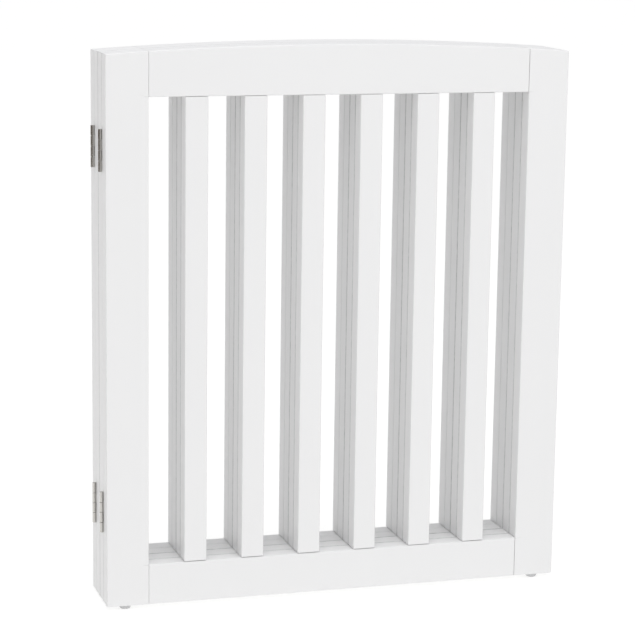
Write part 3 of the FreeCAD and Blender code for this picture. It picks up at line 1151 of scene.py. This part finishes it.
class GATE_OT_rails(bpy.types.Operator):
    """Make the arched top rail and the bottom rail of every panel"""

    bl_idname = "gate.rails"
    bl_label = "Rails"

    def execute(self, context):
        for panel in PANELS:
            for node, arched in (("_top_rail", True), ("_bottom_rail", False)):
                board = rail(panel, node, arched)
                finish_board(board, panel + node, panel, "rails", GRAIN_ACROSS)
        return {"FINISHED"}


class GATE_OT_slats(bpy.types.Operator):
    """Make the slats of every panel"""

    bl_idname = "gate.slats"
    bl_label = "Slats"

    def execute(self, context):
        for panel in PANELS:
            for node in slats_of(panel):
                finish_board(slat(panel, node), node, panel, "uprights", GRAIN_UP)
        return {"FINISHED"}


class GATE_OT_dowels(bpy.types.Operator):
    """Give the dowels inside the corner joints their beech"""

    bl_idname = "gate.dowels"
    bl_label = "Dowels"

    def execute(self, context):
        beech = tuple(context.scene.gate_glides.beech)
        for panel in PANELS:
            dowels = frame["nodes"][panel + "_dowels"]
            dowels.material_slots[0].material = shared("turned_beech", turned_beech, beech)
        return {"FINISHED"}


class GATE_OT_hinge_leaves(bpy.types.Operator):
    """Make the rolled hinge leaves that each panel carries"""

    bl_idname = "gate.hinge_leaves"
    bl_label = "Hinge leaves"

    def execute(self, context):
        plating = tuple(context.scene.gate_hinges.plating)
        steel = shared("zinc_plated_strip", zinc_plated_steel, plating, 0.2)
        fixed, swinging = rolled_leaf(0), rolled_leaf(1)
        for panel in PANELS:
            leaves = new_mesh()
            for hinge in panel_hinges(panel):
                join_copy(leaves, swinging if hinge["swings"] else fixed, hinge["matrix"])
            node = panel + "_hinge_leaves"
            finish_piece(leaves, node, "_rolled", panel, steel)
        fixed.free()
        swinging.free()
        return {"FINISHED"}


class GATE_OT_hinge_screws(bpy.types.Operator):
    """Make the countersunk screws of every hinge leaf"""

    bl_idname = "gate.hinge_screws"
    bl_label = "Hinge screws"

    def execute(self, context):
        plating = tuple(context.scene.gate_hinges.screw_plating)
        steel = shared("zinc_plated_screw", zinc_plated_steel, plating, 0.3)
        screw = countersunk_screw()
        for panel in PANELS:
            screws = new_mesh()
            for hinge in panel_hinges(panel):
                for place in screw_places():
                    laid = Matrix.Translation(place) @ Matrix.Rotation(-math.pi / 2, 4, "X")
                    join_copy(screws, screw, hinge["matrix"] @ laid)
            node = panel + "_hinge_screws"
            finish_piece(screws, node, "_threaded", panel, steel)
        screw.free()
        return {"FINISHED"}


class GATE_OT_hinge_pins(bpy.types.Operator):
    """Make the pins that the knuckles are rolled round"""

    bl_idname = "gate.hinge_pins"
    bl_label = "Hinge pins"

    def execute(self, context):
        plating = tuple(context.scene.gate_hinges.plating)
        steel = shared("zinc_plated_strip", zinc_plated_steel, plating, 0.2)
        pin = hinge_pin()
        for joint in JOINTS:
            pins = new_mesh()
            for foot in hinge_feet(joint):
                join_copy(pins, pin, foot)
            finish_piece(pins, pin_node(joint), "_domed", joint["parent"], steel)
        pin.free()
        return {"FINISHED"}


class GATE_OT_glides(bpy.types.Operator):
    """Make the moulded glides under the stiles"""

    bl_idname = "gate.glides"
    bl_label = "Glides"

    def execute(self, context):
        plastic = tuple(context.scene.gate_glides.plastic)
        for panel in PANELS:
            node = panel + "_glides"
            low, high = BOX[node]
            radius = (high.y - low.y) / 2
            glide = floor_glide(panel)
            pair = new_mesh()
            for x in (low.x + radius, high.x - radius):
                join_copy(pair, glide, Matrix.Translation((x, (low.y + high.y) / 2, 0)))
            glide.free()
            material = shared("moulded_polyethylene", moulded_polyethylene, plastic)
            finish_piece(pair, node, "_moulded", panel, material)
        return {"FINISHED"}


OPERATORS = (
    GATE_OT_stage,
    GATE_OT_stiles,
    GATE_OT_rails,
    GATE_OT_slats,
    GATE_OT_dowels,
    GATE_OT_hinge_leaves,
    GATE_OT_hinge_screws,
    GATE_OT_hinge_pins,
    GATE_OT_glides,
)


class GATE_PT_pieces(bpy.types.Panel):
    """Lists the gate's pieces in the order in which they are made"""

    bl_label = "Pet gate"
    bl_space_type = "VIEW_3D"
    bl_region_type = "UI"
    bl_category = "Pet gate"

    def draw(self, context):
        for operator in OPERATORS:
            self.layout.operator(operator.bl_idname, text=operator.bl_label)


def register():
    for name, group in SETTINGS.items():
        bpy.utils.register_class(group)
        setattr(bpy.types.Scene, name, PointerProperty(type=group))
    for operator in OPERATORS:
        bpy.utils.register_class(operator)
    bpy.utils.register_class(GATE_PT_pieces)


def unregister():
    bpy.utils.unregister_class(GATE_PT_pieces)
    for operator in reversed(OPERATORS):
        bpy.utils.unregister_class(operator)
    for name, group in SETTINGS.items():
        delattr(bpy.types.Scene, name)
        bpy.utils.unregister_class(group)


def main():
    register()
    for operator in OPERATORS:
        getattr(bpy.ops.gate, operator.bl_idname.removeprefix("gate."))()


if __name__ == "__main__":
    main()
